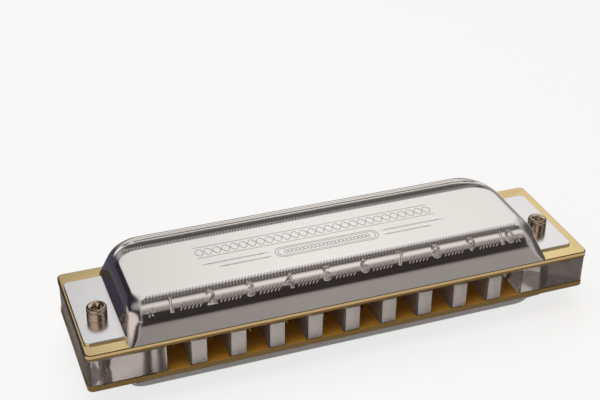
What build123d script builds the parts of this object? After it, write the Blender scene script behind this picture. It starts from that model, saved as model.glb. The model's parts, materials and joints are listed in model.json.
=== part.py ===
from build123d import *
import math
import os

# A ten-hole diatonic harmonica: a clear comb between two brass reed plates, with a
# stainless cover over each plate. Millimetres. X runs along the row of holes with the
# low notes at -X, -Y is the mouth side, +Z is up. The instrument lies on its lower
# cover, and the origin is at the middle of its footprint.

# ---------------------------------------------------------------- driving dimensions
hole_count = 10
hole_pitch = 7.5             # centre to centre of neighbouring holes
hole_width = 4.3             # clear width of one hole and of the chamber behind it

comb_length = 100.6
comb_height = 5.8
comb_corner = 1.0            # radius of the comb's upright corners
comb_edge = 0.25             # bevel round the comb's upper and lower edges
tine_bevel = 0.25            # bevel where a hole meets the front face
chamber_corner = 0.8         # radius in the blind corners of a chamber

plate_overhang = 0.2         # how far a plate stands past each end of the comb
plate_depth = 26.7           # front to back, the same as the comb
plate_thickness = 1.2
plate_corner = 1.1
plate_edge = 0.25            # rounding of the plate's outer rim

reed_length_low = 15.6       # free length of the tongue behind hole 1
reed_length_high = 8.0       # and behind the last hole
reed_width = 2.3
reed_root = 0.30             # tongue thickness where it leaves its pad
reed_tip = 0.18              # and at its free end
reed_lift = 0.25             # how far a tongue's tip stands off its plate at rest
root_gap = 0.02              # hairline between a pad and its tongue
reed_side_gap = 0.08         # air gap each side of a tongue in its slot
reed_tip_gap = 0.12
blow_root_inset = 5.0        # from the plate's front edge back to the blow reeds' roots
draw_tip_inset = 6.4         # from the plate's front edge back to the draw reeds' tips
chamber_end_gap = 0.4        # chamber left behind the longer of its two reeds

pad_width = 3.4
pad_length = 3.6
rivet_diameter = 1.2
rivet_head_diameter = 2.0
rivet_head_height = 0.35
rivet_fit = 0.01             # radial clearance of a rivet in its hole

sheet = 0.45                 # thickness of the stainless cover sheet
cover_rise = 5.8             # crest of a cover above its plate
cover_shift = -0.7           # the covers sit this far towards the low notes
cover_end_inset = 1.25       # from the end of a plate in to the end of a centred cover
flange_reach = 7.25          # each end flange, outwards from the foot of the dome
flange_depth = 20.0
flange_offset = -0.4         # middle of the flanges, measured from the plate's middle
flange_corner = 1.0
mouth_angle = 44.0           # slope of the sheet that the lips touch
mouth_length = 3.75          # measured up that slope
shoulder_angle = 65.0        # slope where the rounded shoulder leaves the mouth slope
groove_start = 4.45          # from the back edge forward to the groove before the rim
groove_depth = 0.3
rim_radius = 0.85            # rolled edge along the open back
rim_lead = 28.0              # degrees of the roll in front of its highest line
rim_depth = 0.9              # height of the rolled edge, down to the open back
back_post = 6.0              # width of each wrapped corner beside the open back
back_wrap = 4.5              # how far forward those corners are cut back to leave it open
front_facet = 1.05           # depth of the flat facet at each front corner
facet_cut = 0.6              # how much shorter the front edge is at each end
wall_lean = 1.3              # how far an end wall leans in over the cover's full rise
end_round = 2.2              # rounding between the end walls and the flat top
back_corner_foot = 3.0       # radius of the back corners, seen from above, at the plate
back_corner_crest = 8.0      # and level with the flat top
round_steps = 6              # flats that make up the end rounding

cover_screw_step = 3.35      # from the foot of the dome out to each cover screw
cover_screw_offset = -3.0    # the screws' place, measured from the plate's middle
screw_diameter = 2.0
screw_head_diameter = 3.8
screw_head_height = 2.5
screw_head_rim = 0.3         # rounding of the head's upper edge
recess_width = 0.65          # one arm of the cross recess
recess_span = 2.4
recess_depth = 1.1
screw_hole_gap = 0.12        # radial clearance in covers, plates and comb
thread_gap = 0.02            # radial clearance left where a thread engages
screw_end = 0.5              # screw left showing below its nut
nut_across_flats = 4.0
nut_height = 1.6
nut_edge = 0.3

plate_screw_diameter = 1.6
plate_screw_head_diameter = 2.8
plate_screw_head_height = 0.75
plate_screw_hole_gap = 0.06
plate_screw_slot_width = 0.4
plate_screw_slot_depth = 0.35
plate_screw_back_inset = 7.85
plate_screw_wall = 0.5       # left between a screw and the chamber beside it

margin = 2.0                 # how far a cutting tool stands clear of what it cuts
top_over = 0.12              # how far the tool that rounds a dome's ends clears its top

# ---------------------------------------------------------------- levels and places
front = -plate_depth / 2
back = plate_depth / 2
comb_top = comb_height / 2
plate_top = comb_top + plate_thickness
flange_top = plate_top + sheet
crest = plate_top + cover_rise
plate_length = comb_length + 2 * plate_overhang
cover_reach = plate_length / 2 - cover_end_inset
dome_half = cover_reach - flange_reach
blow_root = front + blow_root_inset
draw_tip = front + draw_tip_inset
cover_screw_y = cover_screw_offset
cover_screw_reach = dome_half + cover_screw_step
cover_screw_x = [cover_shift - cover_screw_reach, cover_shift + cover_screw_reach]


def hole_x(number):
    """Middle of a hole, counted from 1 at the low end."""
    return (number - (hole_count + 1) / 2) * hole_pitch


def reed_length(number):
    """Tongues grow evenly shorter towards the high notes."""
    step = (reed_length_high - reed_length_low) / (hole_count - 1)
    return reed_length_low + step * (number - 1)


def draw_root(number):
    return draw_tip + reed_length(number)


def chamber_end(number):
    blow_end = blow_root + reed_length(number) + reed_tip_gap
    return max(blow_end, draw_root(number)) + chamber_end_gap


plate_screw_y = back - plate_screw_back_inset
plate_screw_x = hole_x(hole_count) + hole_width / 2 + plate_screw_wall + plate_screw_diameter / 2
plate_screw_places = [(side * plate_screw_x, plate_screw_y) for side in (-1, 1)]


# ---------------------------------------------------------------- small helpers
def upright(x, y, radius, bottom, top):
    """A round bar or hole along Z between two levels."""
    middle = (bottom + top) / 2
    return Pos(x, y, middle) * Cylinder(radius, top - bottom)


def block(x_range, y_range, z_range):
    """A box given by its two limits along each axis."""
    low = Vector(x_range[0], y_range[0], z_range[0])
    high = Vector(x_range[1], y_range[1], z_range[1])
    size = high - low
    return Pos(*((low + high) / 2)) * Box(size.X, size.Y, size.Z)


def rounded_slab(length, depth, thickness, corner):
    """A flat plate centred on the origin, with rounded upright corners."""
    return extrude(RectangleRounded(length, depth, corner), thickness / 2, both=True)


def place(shape):
    """Lift a shape from the comb's middle plane, where it is drawn, to where it lies."""
    return Pos(0, 0, crest) * shape


def save(name, shapes):
    """Write one node: a single solid, or a group of separate ones."""
    group = shapes if isinstance(shapes, list) else [shapes]
    solids = [solid for shape in group for solid in place(shape).solids()]
    node = solids[0] if len(solids) == 1 else Compound(solids)
    node.label = name
    export_step(node, f"parts/{name}.step")


# ---------------------------------------------------------------- comb
def chamber(number):
    """One hole and its chamber, bevelled at the mouth and rounded at the blind end."""
    half = hole_width / 2
    end = chamber_end(number)
    outline = Polyline(
        (-half - tine_bevel - margin, front - margin),
        (-half, front + tine_bevel),
        (-half, end),
        (half, end),
        (half, front + tine_bevel),
        (half + tine_bevel + margin, front - margin),
        close=True,
    )
    face = make_face(outline)
    corners = face.vertices().group_by(Axis.Y)[-1]
    face = fillet(corners, chamber_corner)
    return Pos(hole_x(number), 0, 0) * extrude(face, comb_top + margin, both=True)


def make_comb():
    body = rounded_slab(comb_length, plate_depth, comb_height, comb_corner)
    rims = body.edges().group_by(Axis.Z)
    body = chamfer(rims[0] + rims[-1], comb_edge)
    for number in range(1, hole_count + 1):
        body -= chamber(number)
    reach = comb_top + margin
    for x in cover_screw_x:
        body -= upright(x, cover_screw_y, screw_diameter / 2 + screw_hole_gap, -reach, reach)
    for x, y in plate_screw_places:
        radius = plate_screw_diameter / 2 + plate_screw_hole_gap
        body -= upright(x, y, radius, -reach, reach)
    return body


# ---------------------------------------------------------------- reeds
# Both sets of reeds hang below their plate: the blow reeds inside the comb with their
# tongues running backwards, the draw reeds under the lower plate with tongues that run
# forwards. heading is +1 or -1 along Y, from the root to the tip.
def reed_slot(number, root, heading):
    """Outline of the slot that a tongue swings through."""
    width = reed_width + 2 * reed_side_gap
    reach = reed_length(number) + reed_tip_gap
    middle = root + heading * reach / 2
    return Pos(hole_x(number), middle, 0) * Rectangle(width, reach)


def rivet_y(root, heading):
    return root - heading * pad_length / 2


def make_pad(number, root, heading, face):
    y_range = sorted((root, root - heading * pad_length))
    x = hole_x(number)
    x_range = (x - pad_width / 2, x + pad_width / 2)
    pad = block(x_range, y_range, (face - reed_root, face))
    hole = upright(
        x, rivet_y(root, heading), rivet_diameter / 2 + rivet_fit, face - margin, face + margin
    )
    return pad - hole


def make_tongue(number, root, heading, face):
    start = root + heading * root_gap
    end = root + heading * reed_length(number)
    side = Polyline(
        (start, face),
        (end, face - reed_lift),
        (end, face - reed_lift - reed_tip),
        (start, face - reed_root),
        close=True,
    )
    profile = Plane.YZ * make_face(side)
    return Pos(hole_x(number), 0, 0) * extrude(profile, reed_width / 2, both=True)


def make_rivet(number, root, heading, face):
    x = hole_x(number)
    y = rivet_y(root, heading)
    under = face - reed_root
    shank = upright(x, y, rivet_diameter / 2, under, face + plate_thickness)
    head = upright(x, y, rivet_head_diameter / 2, under - rivet_head_height, under)
    rim = head.edges().group_by(Axis.Z)[0]
    return shank + fillet(rim, rivet_head_height / 2)


# ---------------------------------------------------------------- reed plates
def make_plate(face, roots, heading, outward, screw_radius):
    """A reed plate whose lower face is at the level given.

    outward is +1 where the plate's outer side is its upper one, and -1 for its lower.
    """
    body = rounded_slab(plate_length, plate_depth, plate_thickness, plate_corner)
    rims = body.edges().group_by(Axis.Z)
    body = fillet(rims[-1] if outward > 0 else rims[0], plate_edge)
    body = Pos(0, 0, face + plate_thickness / 2) * body
    low = face - margin
    high = face + plate_thickness + margin
    for number, root in enumerate(roots, start=1):
        slot = Pos(0, 0, low) * reed_slot(number, root, heading)
        body -= extrude(slot, high - low)
        radius = rivet_diameter / 2 + rivet_fit
        body -= upright(hole_x(number), rivet_y(root, heading), radius, low, high)
    for x in cover_screw_x:
        body -= upright(x, cover_screw_y, screw_diameter / 2 + screw_hole_gap, low, high)
    for x, y in plate_screw_places:
        body -= upright(x, y, screw_radius, low, high)
    return body


# ---------------------------------------------------------------- covers
def cover_profile(inset):
    """Front-to-back section of the dome, moved inwards by inset.

    With no inset it ends at the back in the rolled rim. With one it is the hollow, drawn
    past the back for the dome's outline to cut off.
    """
    slope = math.radians(mouth_angle)
    turn = math.radians(shoulder_angle)
    crease_y = front + mouth_length * math.cos(slope)
    crease_z = plate_top + mouth_length * math.sin(slope)
    radius = (crest - crease_z) / (1 - math.cos(turn))
    centre_y = crease_y + radius * math.sin(turn)
    centre_z = crest - radius
    inner = radius - inset
    foot = (front + inset / math.sin(slope), plate_top)
    knee = (crease_y + inset * math.sin(slope), crease_z - inset * math.cos(slope))
    arc_start = (centre_y - inner * math.sin(turn), centre_z + inner * math.cos(turn))
    middle = turn / 2
    arc_middle = (centre_y - inner * math.sin(middle), centre_z + inner * math.cos(middle))
    arc_end = (centre_y, centre_z + inner)
    lines = [Line(foot, knee)]
    if inset > 0:
        lines.append(Line(knee, arc_start))
    lines.append(ThreePointArc(arc_start, arc_middle, arc_end))
    groove = (back - groove_start, crest - inset)
    lines.append(Line(arc_end, groove))
    if inset > 0:
        ceiling = crest - groove_depth - inset
        step = (groove[0] + groove_depth, ceiling)
        corners = [(back + margin, ceiling), (back + margin, plate_top - margin)]
        corners += [(foot[0], plate_top - margin), foot]
        lines.append(Polyline(groove, step, *corners))
    else:
        lead = math.radians(rim_lead)
        roll_y = back - rim_radius
        roll_z = crest - rim_radius
        roll_start = (roll_y - rim_radius * math.sin(lead), roll_z + rim_radius * math.cos(lead))
        roll_end = (back, roll_z)
        roll_top = (roll_y + rim_radius / math.sqrt(2), roll_z + rim_radius / math.sqrt(2))
        dip = ((groove[0] + roll_start[0]) / 2, crest - groove_depth)
        lines.append(ThreePointArc(groove, dip, roll_start))
        lines.append(ThreePointArc(roll_start, roll_top, roll_end))
        lines.append(Polyline(roll_end, (back, plate_top), foot))
    return Plane.YZ * make_face(Curve() + lines)


def dome_outline(level, half, rear, corner):
    """The dome seen from above at one level: facets in front, round corners behind."""
    ahead = front - margin
    narrow = half - facet_cut * (front_facet + margin) / front_facet
    outline = Polyline(
        (-narrow, ahead),
        (-half, front + front_facet),
        (-half, rear),
        (half, rear),
        (half, front + front_facet),
        (narrow, ahead),
        close=True,
    )
    face = make_face(outline)
    return Pos(0, 0, level) * fillet(face.vertices().group_by(Axis.Y)[-1], corner)


def dome(inset):
    """The raised part of a cover, solid, moved inwards by inset."""
    radius = end_round - inset
    top = crest + top_over - inset
    lean = wall_lean / cover_rise
    growth = (back_corner_crest - back_corner_foot) / cover_rise
    levels = [(plate_top - margin, 0)]
    for step in range(round_steps + 1):
        angle = math.radians(90 * step / round_steps)
        levels.append((top - radius + radius * math.sin(angle), radius * (1 - math.cos(angle))))
    outlines = []
    for level, drawn_in in levels:
        height = level - plate_top
        half = dome_half - inset - lean * height - drawn_in
        corner = back_corner_foot + growth * height - inset
        outlines.append(dome_outline(level, half, back - inset, corner))
    section = extrude(cover_profile(inset), dome_half + margin, both=True)
    return section & loft(outlines, ruled=True)


def make_cover():
    """The upper cover. The lower one is the same stamping seen in a mirror."""
    flanges = rounded_slab(2 * cover_reach, flange_depth, sheet, flange_corner)
    flanges = Pos(0, flange_offset, plate_top + sheet / 2) * flanges
    open_width = (back_post - dome_half, dome_half - back_post)
    open_depth = (back - back_wrap, back + margin)
    opening = block(open_width, open_depth, (plate_top - margin, crest - rim_depth))
    body = dome(0) + flanges - dome(sheet) - opening
    body = Pos(cover_shift, 0, 0) * body
    for x in cover_screw_x:
        radius = screw_diameter / 2 + screw_hole_gap
        body -= upright(x, cover_screw_y, radius, plate_top - margin, flange_top + margin)
    return body


# ---------------------------------------------------------------- fasteners
def make_cover_screw(x):
    """A cheese-head screw with a cross recess, from the upper flange to below its nut."""
    y = cover_screw_y
    top = flange_top + screw_head_height
    head = upright(x, y, screw_head_diameter / 2, flange_top, top)
    head = fillet(head.edges().group_by(Axis.Z)[-1], screw_head_rim)
    tip = -flange_top - nut_height - screw_end
    shank = upright(x, y, screw_diameter / 2, tip, flange_top)
    shank = chamfer(shank.edges().group_by(Axis.Z)[0], thread_gap + nut_edge / 2)
    arms = Pos(x, y, top - recess_depth / 2) * (
        Box(recess_span, recess_width, recess_depth) + Box(recess_width, recess_span, recess_depth)
    )
    return head + shank - arms


def make_cover_nut(x):
    """A hexagon nut that the cover screw pulls up under the lower flange."""
    y = cover_screw_y
    top = -flange_top
    low = top - nut_height
    hexagon = RegularPolygon(nut_across_flats / 2, 6, major_radius=False)
    body = extrude(Pos(x, y, low) * hexagon, nut_height)
    foot_radius = nut_across_flats / 2
    spread = foot_radius + nut_height
    cone = Pos(x, y, (low + top) / 2) * Cone(foot_radius, spread, nut_height)
    bore = upright(x, y, screw_diameter / 2 + thread_gap, low - margin, top + margin)
    return (body & cone) - bore


def make_plate_screw(x, y):
    """A small slotted screw from the upper plate, threaded into the lower one."""
    top = plate_top + plate_screw_head_height
    head = upright(x, y, plate_screw_head_diameter / 2, plate_top, top)
    head = fillet(head.edges().group_by(Axis.Z)[-1], plate_screw_head_height / 3)
    shank = upright(x, y, plate_screw_diameter / 2, -plate_top, plate_top)
    slot = Pos(x, y, top) * Box(
        plate_screw_head_diameter + margin, plate_screw_slot_width, 2 * plate_screw_slot_depth
    )
    return head + shank - slot


# ---------------------------------------------------------------- assembly
numbers = range(1, hole_count + 1)
blow_roots = [blow_root for number in numbers]
draw_roots = [draw_root(number) for number in numbers]
clear_hole = plate_screw_diameter / 2 + plate_screw_hole_gap
tapped_hole = plate_screw_diameter / 2 + thread_gap

save("comb", make_comb())
save("upper_reed_plate", make_plate(comb_top, blow_roots, 1, 1, clear_hole))
save("lower_reed_plate", make_plate(-plate_top, draw_roots, -1, -1, tapped_hole))

reed_sets = [("blow", blow_roots, 1, comb_top), ("draw", draw_roots, -1, -plate_top)]
for kind, roots, heading, face in reed_sets:
    pairs = list(zip(numbers, roots))
    for number, root in pairs:
        save(f"{kind}_reed_{number}", make_tongue(number, root, heading, face))
    save(f"{kind}_reed_pads", [make_pad(number, root, heading, face) for number, root in pairs])
    save(f"{kind}_reed_rivets", [make_rivet(number, root, heading, face) for number, root in pairs])

upper_cover = make_cover()
save("upper_cover", upper_cover)
save("lower_cover", mirror(upper_cover, about=Plane.XY))

for side, x in zip(("left", "right"), cover_screw_x):
    save(f"cover_screw_{side}", make_cover_screw(x))
    save(f"cover_nut_{side}", make_cover_nut(x))
save("reed_plate_screws", [make_plate_screw(x, y) for x, y in plate_screw_places])

for kind, roots, heading, face in reed_sets:
    axis_z = face - reed_root / 2 + crest
    for number, root in zip(numbers, roots):
        print(f"{kind}_reed_{number} hinge at {hole_x(number):.3f} {root:.3f} {axis_z:.3f}")
print(f"height {2 * crest:.2f}, chambers end at {chamber_end(1):.2f} to {chamber_end(hole_count):.2f}")
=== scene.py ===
# %% [markdown]
# # A ten-hole harmonica
# A harmonica is a sandwich: a clear comb with ten chambers, a brass reed plate above and
# below it, and a stamped steel cover over each plate. The sizes and places of all of it come
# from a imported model, the frame. This file gives each piece its finish, and models the pieces
# whose look needs more than the frame's plain solids: the covers' polished skin, their
# engraving, and the screws.

# %% Load the frame
import bmesh
import bpy
import json
import math
from mathutils import Matrix, Vector


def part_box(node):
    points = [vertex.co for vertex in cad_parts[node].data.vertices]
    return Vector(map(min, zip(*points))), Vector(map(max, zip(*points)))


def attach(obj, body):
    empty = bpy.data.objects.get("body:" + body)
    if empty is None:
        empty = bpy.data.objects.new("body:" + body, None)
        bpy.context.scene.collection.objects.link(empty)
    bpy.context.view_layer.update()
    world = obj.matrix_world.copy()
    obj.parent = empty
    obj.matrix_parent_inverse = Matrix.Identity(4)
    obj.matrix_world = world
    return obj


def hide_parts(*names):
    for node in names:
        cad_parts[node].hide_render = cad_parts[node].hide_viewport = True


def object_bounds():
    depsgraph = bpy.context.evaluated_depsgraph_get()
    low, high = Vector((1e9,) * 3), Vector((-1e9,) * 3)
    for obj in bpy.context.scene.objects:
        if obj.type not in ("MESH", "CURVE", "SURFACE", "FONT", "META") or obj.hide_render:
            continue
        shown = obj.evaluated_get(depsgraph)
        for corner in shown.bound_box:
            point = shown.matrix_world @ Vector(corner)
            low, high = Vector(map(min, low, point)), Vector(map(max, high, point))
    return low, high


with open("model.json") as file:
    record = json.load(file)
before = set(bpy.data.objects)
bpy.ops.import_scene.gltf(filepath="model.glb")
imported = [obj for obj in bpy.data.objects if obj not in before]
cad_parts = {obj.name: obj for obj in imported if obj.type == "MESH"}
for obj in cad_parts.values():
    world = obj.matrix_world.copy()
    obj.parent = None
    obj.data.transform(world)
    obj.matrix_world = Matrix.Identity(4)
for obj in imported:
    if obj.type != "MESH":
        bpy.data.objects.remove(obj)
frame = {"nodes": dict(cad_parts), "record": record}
cad_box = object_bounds()
MM = 0.001
TO_METRES = Matrix.Diagonal((MM, MM, MM, 1))

# %% [markdown]
# ## Sizes
# The frame gives the outer box of every node, so most places are read from it. What the frame
# can't tell, such as the run of a slope, is a named size in millimetres. The engraved lines
# stand a tenth of a millimetre proud, so the sheet under them lies that much lower.

# %% Sizes and places
cover_low, cover_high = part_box("upper_cover")
plate_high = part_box("upper_reed_plate")[1]
comb_low, comb_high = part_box("comb")
BODY = "harmonica_body"
TOP = cover_high.z / MM
PLATE_TOP = plate_high.z / MM
MIDDLE = (cover_low.x + cover_high.x) / 2 / MM
FRONT = cover_low.y / MM
BACK = cover_high.y / MM
EMBOSS = 0.1
RISE = TOP - PLATE_TOP - EMBOSS
REACH = (cover_high.x - cover_low.x) / 2 / MM
SHEET = 0.45
FLANGE_REACH = 7.25
DOME_HALF = REACH - FLANGE_REACH
HOLE_PITCH = 7.5
HOLE_COUNT = 10
print(f"cover: {2 * REACH:.1f} mm long, dome {2 * DOME_HALF:.1f} mm, {RISE:.1f} mm high")

# %% [markdown]
# ## Helpers
# A material is a small tree of nodes. One helper adds a node with its settings, one feeds it
# from others, and one turns the sRGB hex values that people write into the linear numbers that
# light needs.
# Two more put a mesh, lamp or camera into the scene and make a mesh of a shape in the making.


# %% Helpers
def linear(hex_colour):
    """An sRGB colour such as "C8C8CC" as linear red, green, blue and alpha."""
    channels = [int(hex_colour[i:i + 2], 16) / 255 for i in (0, 2, 4)]
    curve = [c / 12.92 if c <= 0.04045 else ((c + 0.055) / 1.055) ** 2.4 for c in channels]
    return (*curve, 1.0)


def feed(node, links):
    """Feeds a node's sockets, each from a socket or from another node's first output in use."""
    for socket, source in links.items():
        if isinstance(source, bpy.types.Node):
            source = next(output for output in source.outputs if output.enabled)
        node.id_data.links.new(source, node.inputs[socket])


def add_node(tree, kind, values=None, links=None, stops=None, **settings):
    """Adds a node, sets its properties and sockets, and feeds sockets from other nodes.

    Stops are a colour ramp's places with their tones: a hex colour or a grey level."""
    node = tree.nodes.new(kind)
    for name, value in settings.items():
        setattr(node, name, value)
    for socket, value in (values or {}).items():
        node.inputs[socket].default_value = value
    feed(node, links or {})
    if stops:
        elements = node.color_ramp.elements
        while len(elements) < len(stops):
            elements.new(1.0)
        for element, (place, tone) in zip(elements, stops):
            element.position = place
            element.color = linear(tone) if isinstance(tone, str) else (tone, tone, tone, 1.0)
    return node


def new_material(name):
    """A material with a Principled shader wired to its output, and its object coordinates."""
    material = bpy.data.materials.new(name)
    material.use_nodes = True
    tree = material.node_tree
    tree.nodes.clear()
    shader = add_node(tree, "ShaderNodeBsdfPrincipled")
    add_node(tree, "ShaderNodeOutputMaterial", links={"Surface": shader})
    place = add_node(tree, "ShaderNodeTexCoord")
    return material, tree, shader, place


def in_scene(name, data):
    """A new object for a mesh, lamp, camera or text, linked into the scene."""
    holder = bpy.data.objects.new(name, data)
    bpy.context.scene.collection.objects.link(holder)
    return holder


def as_mesh(name, shape):
    """A mesh made of a bmesh, which is then let go."""
    mesh = bpy.data.meshes.new(name)
    shape.to_mesh(mesh)
    shape.free()
    return mesh


print("helpers ready")

# %% [markdown]
# ## Polished steel
# The covers are stainless sheet, stamped and buffed to a mirror. Buffing leaves fine lines that
# run the way the wheel went, along the cover, and stamping leaves a faint waviness. The lines
# make the highlights a little soft across them, and the waves bend what the steel reflects.
# The lines of a real buffing wheel are near 0.02 mm apart, too fine to show at arm's length, so
# they are drawn at 0.12 mm.


# %% Material: steel, polished to any gloss
NOISE_LOW, NOISE_HIGH = 0.3, 0.7    # a noise texture's values seldom leave this range


def make_steel(name, tone, gloss, line_contrast=0.3, wave_height=0.02):
    """Polished metal with fine lines along the cover and a faint waviness, in millimetres."""
    material, tree, shader, place = new_material(name)
    shader.inputs["Metallic"].default_value = 1.0
    shader.inputs["Base Color"].default_value = linear(tone)
    line_width, line_length, wave_size = 0.12 * MM, 6 * MM, 9 * MM
    along_cover = add_node(tree, "ShaderNodeMapping",
                           values={"Scale": (1 / line_length, 1 / line_width, 1 / line_width)},
                           links={"Vector": place.outputs["Object"]})
    lines = add_node(tree, "ShaderNodeTexNoise", values={"Scale": 1.0, "Detail": 3.0},
                     links={"Vector": along_cover})
    rough = add_node(tree, "ShaderNodeMapRange", links={"Value": lines},
                     values={"From Min": NOISE_LOW, "From Max": NOISE_HIGH,
                             "To Min": gloss * (1 - line_contrast),
                             "To Max": gloss * (1 + line_contrast)})
    waves = add_node(tree, "ShaderNodeTexNoise", values={"Scale": 1 / wave_size, "Detail": 1.0},
                     links={"Vector": place.outputs["Object"]})
    wavy = add_node(tree, "ShaderNodeBump", values={"Strength": 1.0, "Distance": wave_height * MM},
                    links={"Height": waves})
    feed(shader, {"Roughness": rough, "Normal": wavy})
    return material


cover_steel = make_steel("polished_stainless_steel", "ECEAE8", 0.12)
print("made", cover_steel.name)

# %% [markdown]
# The covers' flat wings are never buffed: the wheel can't reach them. They keep the satin face
# of rolled sheet, the same steel with a rougher surface.

# %% Material: satin steel
wing_steel = make_steel("satin_stainless_steel", "FBFAFD", 0.22, line_contrast=0.06, wave_height=0)
print("made", wing_steel.name)

# %% [markdown]
# ## Nickel plate
# The screws and nuts are steel with a bright nickel plate, warmer and darker than stainless.

# %% Material: nickel plate
nickel_plate = make_steel("nickel_plate", "BEAE9A", 0.16)
print("made", nickel_plate.name)

# %% [markdown]
# ## Brass
# Reed plates are punched from hard-rolled brass and polished on their faces. Their edges are
# coloured for light and shade: the outer rim, which rolls over, carries a painted dark reflection,
# the upper part of the upper plate's edge carries a painted highlight, and the part below it and
# the lower plate's whole edge carry painted shade. The surface normal and the height across the
# edge tell these apart, so one material does them all. The inner faces, which line the chambers,
# carry a painted warm glow that stands for light bouncing between the brass plates, and are told
# by their nearness to the comb. Reeds and rivets are the same metal, left satin. Rolling leaves a
# grain along the sheet, drawn 0.15 mm wide.


# %% Material: brass
PAINTED_BOUNCE_HALF = 38 * MM                # the painted warm bounce light on the inner faces reaches this far from the middle
PAINTED_HIGHLIGHT_BAND = (0.42 * MM, 0.52 * MM)  # above the comb's face, where the painted highlight band sets in
ROLLED_NORMAL = (0.15, 0.4)              # how far up the normal points where the rim rolls over and takes the painted shade
FACE_NORMAL = (0.86, 0.97)               # and where the face begins


def make_brass(name, face_tone, mottle_and_highlight_tone, painted_shade_tone, painted_bounce_tone, gloss, edge_rough):
    """Rolled brass with painted highlight and painted shade on its punched edges, and painted warm
    bounce light on the faces towards the comb.
    """
    material, tree, shader, place = new_material(name)
    half = (comb_high.z - comb_low.z) / 2
    spot = add_node(tree, "ShaderNodeSeparateXYZ", links={"Vector": place.outputs["Object"]})
    above = add_node(tree, "ShaderNodeMath", operation="SUBTRACT",
                     values={1: (comb_high.z + comb_low.z) / 2}, links={0: spot.outputs["Z"]})
    reach = add_node(tree, "ShaderNodeMath", operation="ABSOLUTE", links={0: above})
    beyond = add_node(tree, "ShaderNodeMapRange", links={"Value": reach},
                      values={"From Min": half + 0.01 * MM, "From Max": half + 0.03 * MM})
    from_middle = add_node(tree, "ShaderNodeMath", operation="ABSOLUTE", links={0: spot.outputs["X"]})
    past_holes = add_node(tree, "ShaderNodeMapRange", links={"Value": from_middle},
                          values={"From Min": PAINTED_BOUNCE_HALF, "From Max": PAINTED_BOUNCE_HALF + 0.2 * MM})
    outside = add_node(tree, "ShaderNodeMath", operation="MAXIMUM", links={0: beyond, 1: past_holes})
    split = add_node(tree, "ShaderNodeSeparateXYZ", links={"Vector": place.outputs["Normal"]})
    flat = add_node(tree, "ShaderNodeMath", operation="ABSOLUTE", links={0: split.outputs["Z"]})
    facing = add_node(tree, "ShaderNodeMapRange", links={"Value": flat},
                      values={"From Min": FACE_NORMAL[0], "From Max": FACE_NORMAL[1]})
    painted_rim_shade = add_node(tree, "ShaderNodeMapRange", links={"Value": flat},
                           values={"From Min": ROLLED_NORMAL[0], "From Max": ROLLED_NORMAL[1]})
    # Painted highlight and painted shade on the edges: the upper plate's edge is light above this
    # height and dark below it, and the lower plate's edges are painted dark all over.
    painted_highlight = add_node(tree, "ShaderNodeMapRange", links={"Value": above},
                         values={"From Min": half + PAINTED_HIGHLIGHT_BAND[0],
                                 "From Max": half + PAINTED_HIGHLIGHT_BAND[1]})
    painted_edge_light = add_node(tree, "ShaderNodeMix", data_type="RGBA",
                         values={"A": linear(painted_shade_tone), "B": linear(mottle_and_highlight_tone)},
                         links={"Factor": painted_highlight})
    # Painted dark reflection on the rolled-over rim.
    rim = add_node(tree, "ShaderNodeMix", data_type="RGBA", values={"B": linear(painted_shade_tone)},
                   links={"Factor": painted_rim_shade, "A": painted_edge_light})
    tarnish_size, grain_width, grain_length = 5 * MM, 0.15 * MM, 4 * MM
    tarnish = add_node(tree, "ShaderNodeTexNoise", values={"Scale": 1 / tarnish_size, "Detail": 4.0},
                       links={"Vector": place.outputs["Object"]})
    mottled = add_node(tree, "ShaderNodeValToRGB", links={"Fac": tarnish},
                       stops=[(0.35, face_tone), (0.7, mottle_and_highlight_tone)])
    face = add_node(tree, "ShaderNodeMix", data_type="RGBA",
                    values={"Factor": 0.1, "A": linear(face_tone)}, links={"B": mottled})
    colour = add_node(tree, "ShaderNodeMix", data_type="RGBA",
                      links={"Factor": facing, "A": rim, "B": face})
    # Painted warm bounce light: near the middle, the faces towards the comb take a deeper yellow and
    # are less metallic.
    with_painted_bounce = add_node(tree, "ShaderNodeMix", data_type="RGBA", values={"A": linear(painted_bounce_tone)},
                      links={"Factor": outside, "B": colour})
    rough = add_node(tree, "ShaderNodeMapRange", links={"Value": facing},
                     values={"To Min": edge_rough, "To Max": gloss})
    inner_metallic = add_node(tree, "ShaderNodeMapRange", links={"Value": outside},
                          values={"To Min": 0.25, "To Max": 1.0})
    along_sheet = add_node(tree, "ShaderNodeMapping",
                           values={"Scale": (1 / grain_length, 1 / grain_width, 1 / grain_width)},
                           links={"Vector": place.outputs["Object"]})
    grain = add_node(tree, "ShaderNodeTexNoise", values={"Scale": 1.0, "Detail": 2.0},
                     links={"Vector": along_sheet})
    rolled = add_node(tree, "ShaderNodeBump", values={"Strength": 0.5, "Distance": 0.004 * MM},
                      links={"Height": grain})
    feed(shader, {"Base Color": with_painted_bounce, "Roughness": rough, "Metallic": inner_metallic, "Normal": rolled})
    return material


# The colours are the face tone, the mottle and painted highlight, the painted shade of the edges, and
# the painted warm bounce light inside.
plate_brass = make_brass("polished_brass", "FCE3A8", "F2D49C", "92774B", "D4A040", 0.26, 0.2)
reed_brass = make_brass("satin_brass", "D9AC60", "C09048", "A87433", "D8A04A", 0.34, 0.42)
print("made", plate_brass.name, "and", reed_brass.name)
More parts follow.
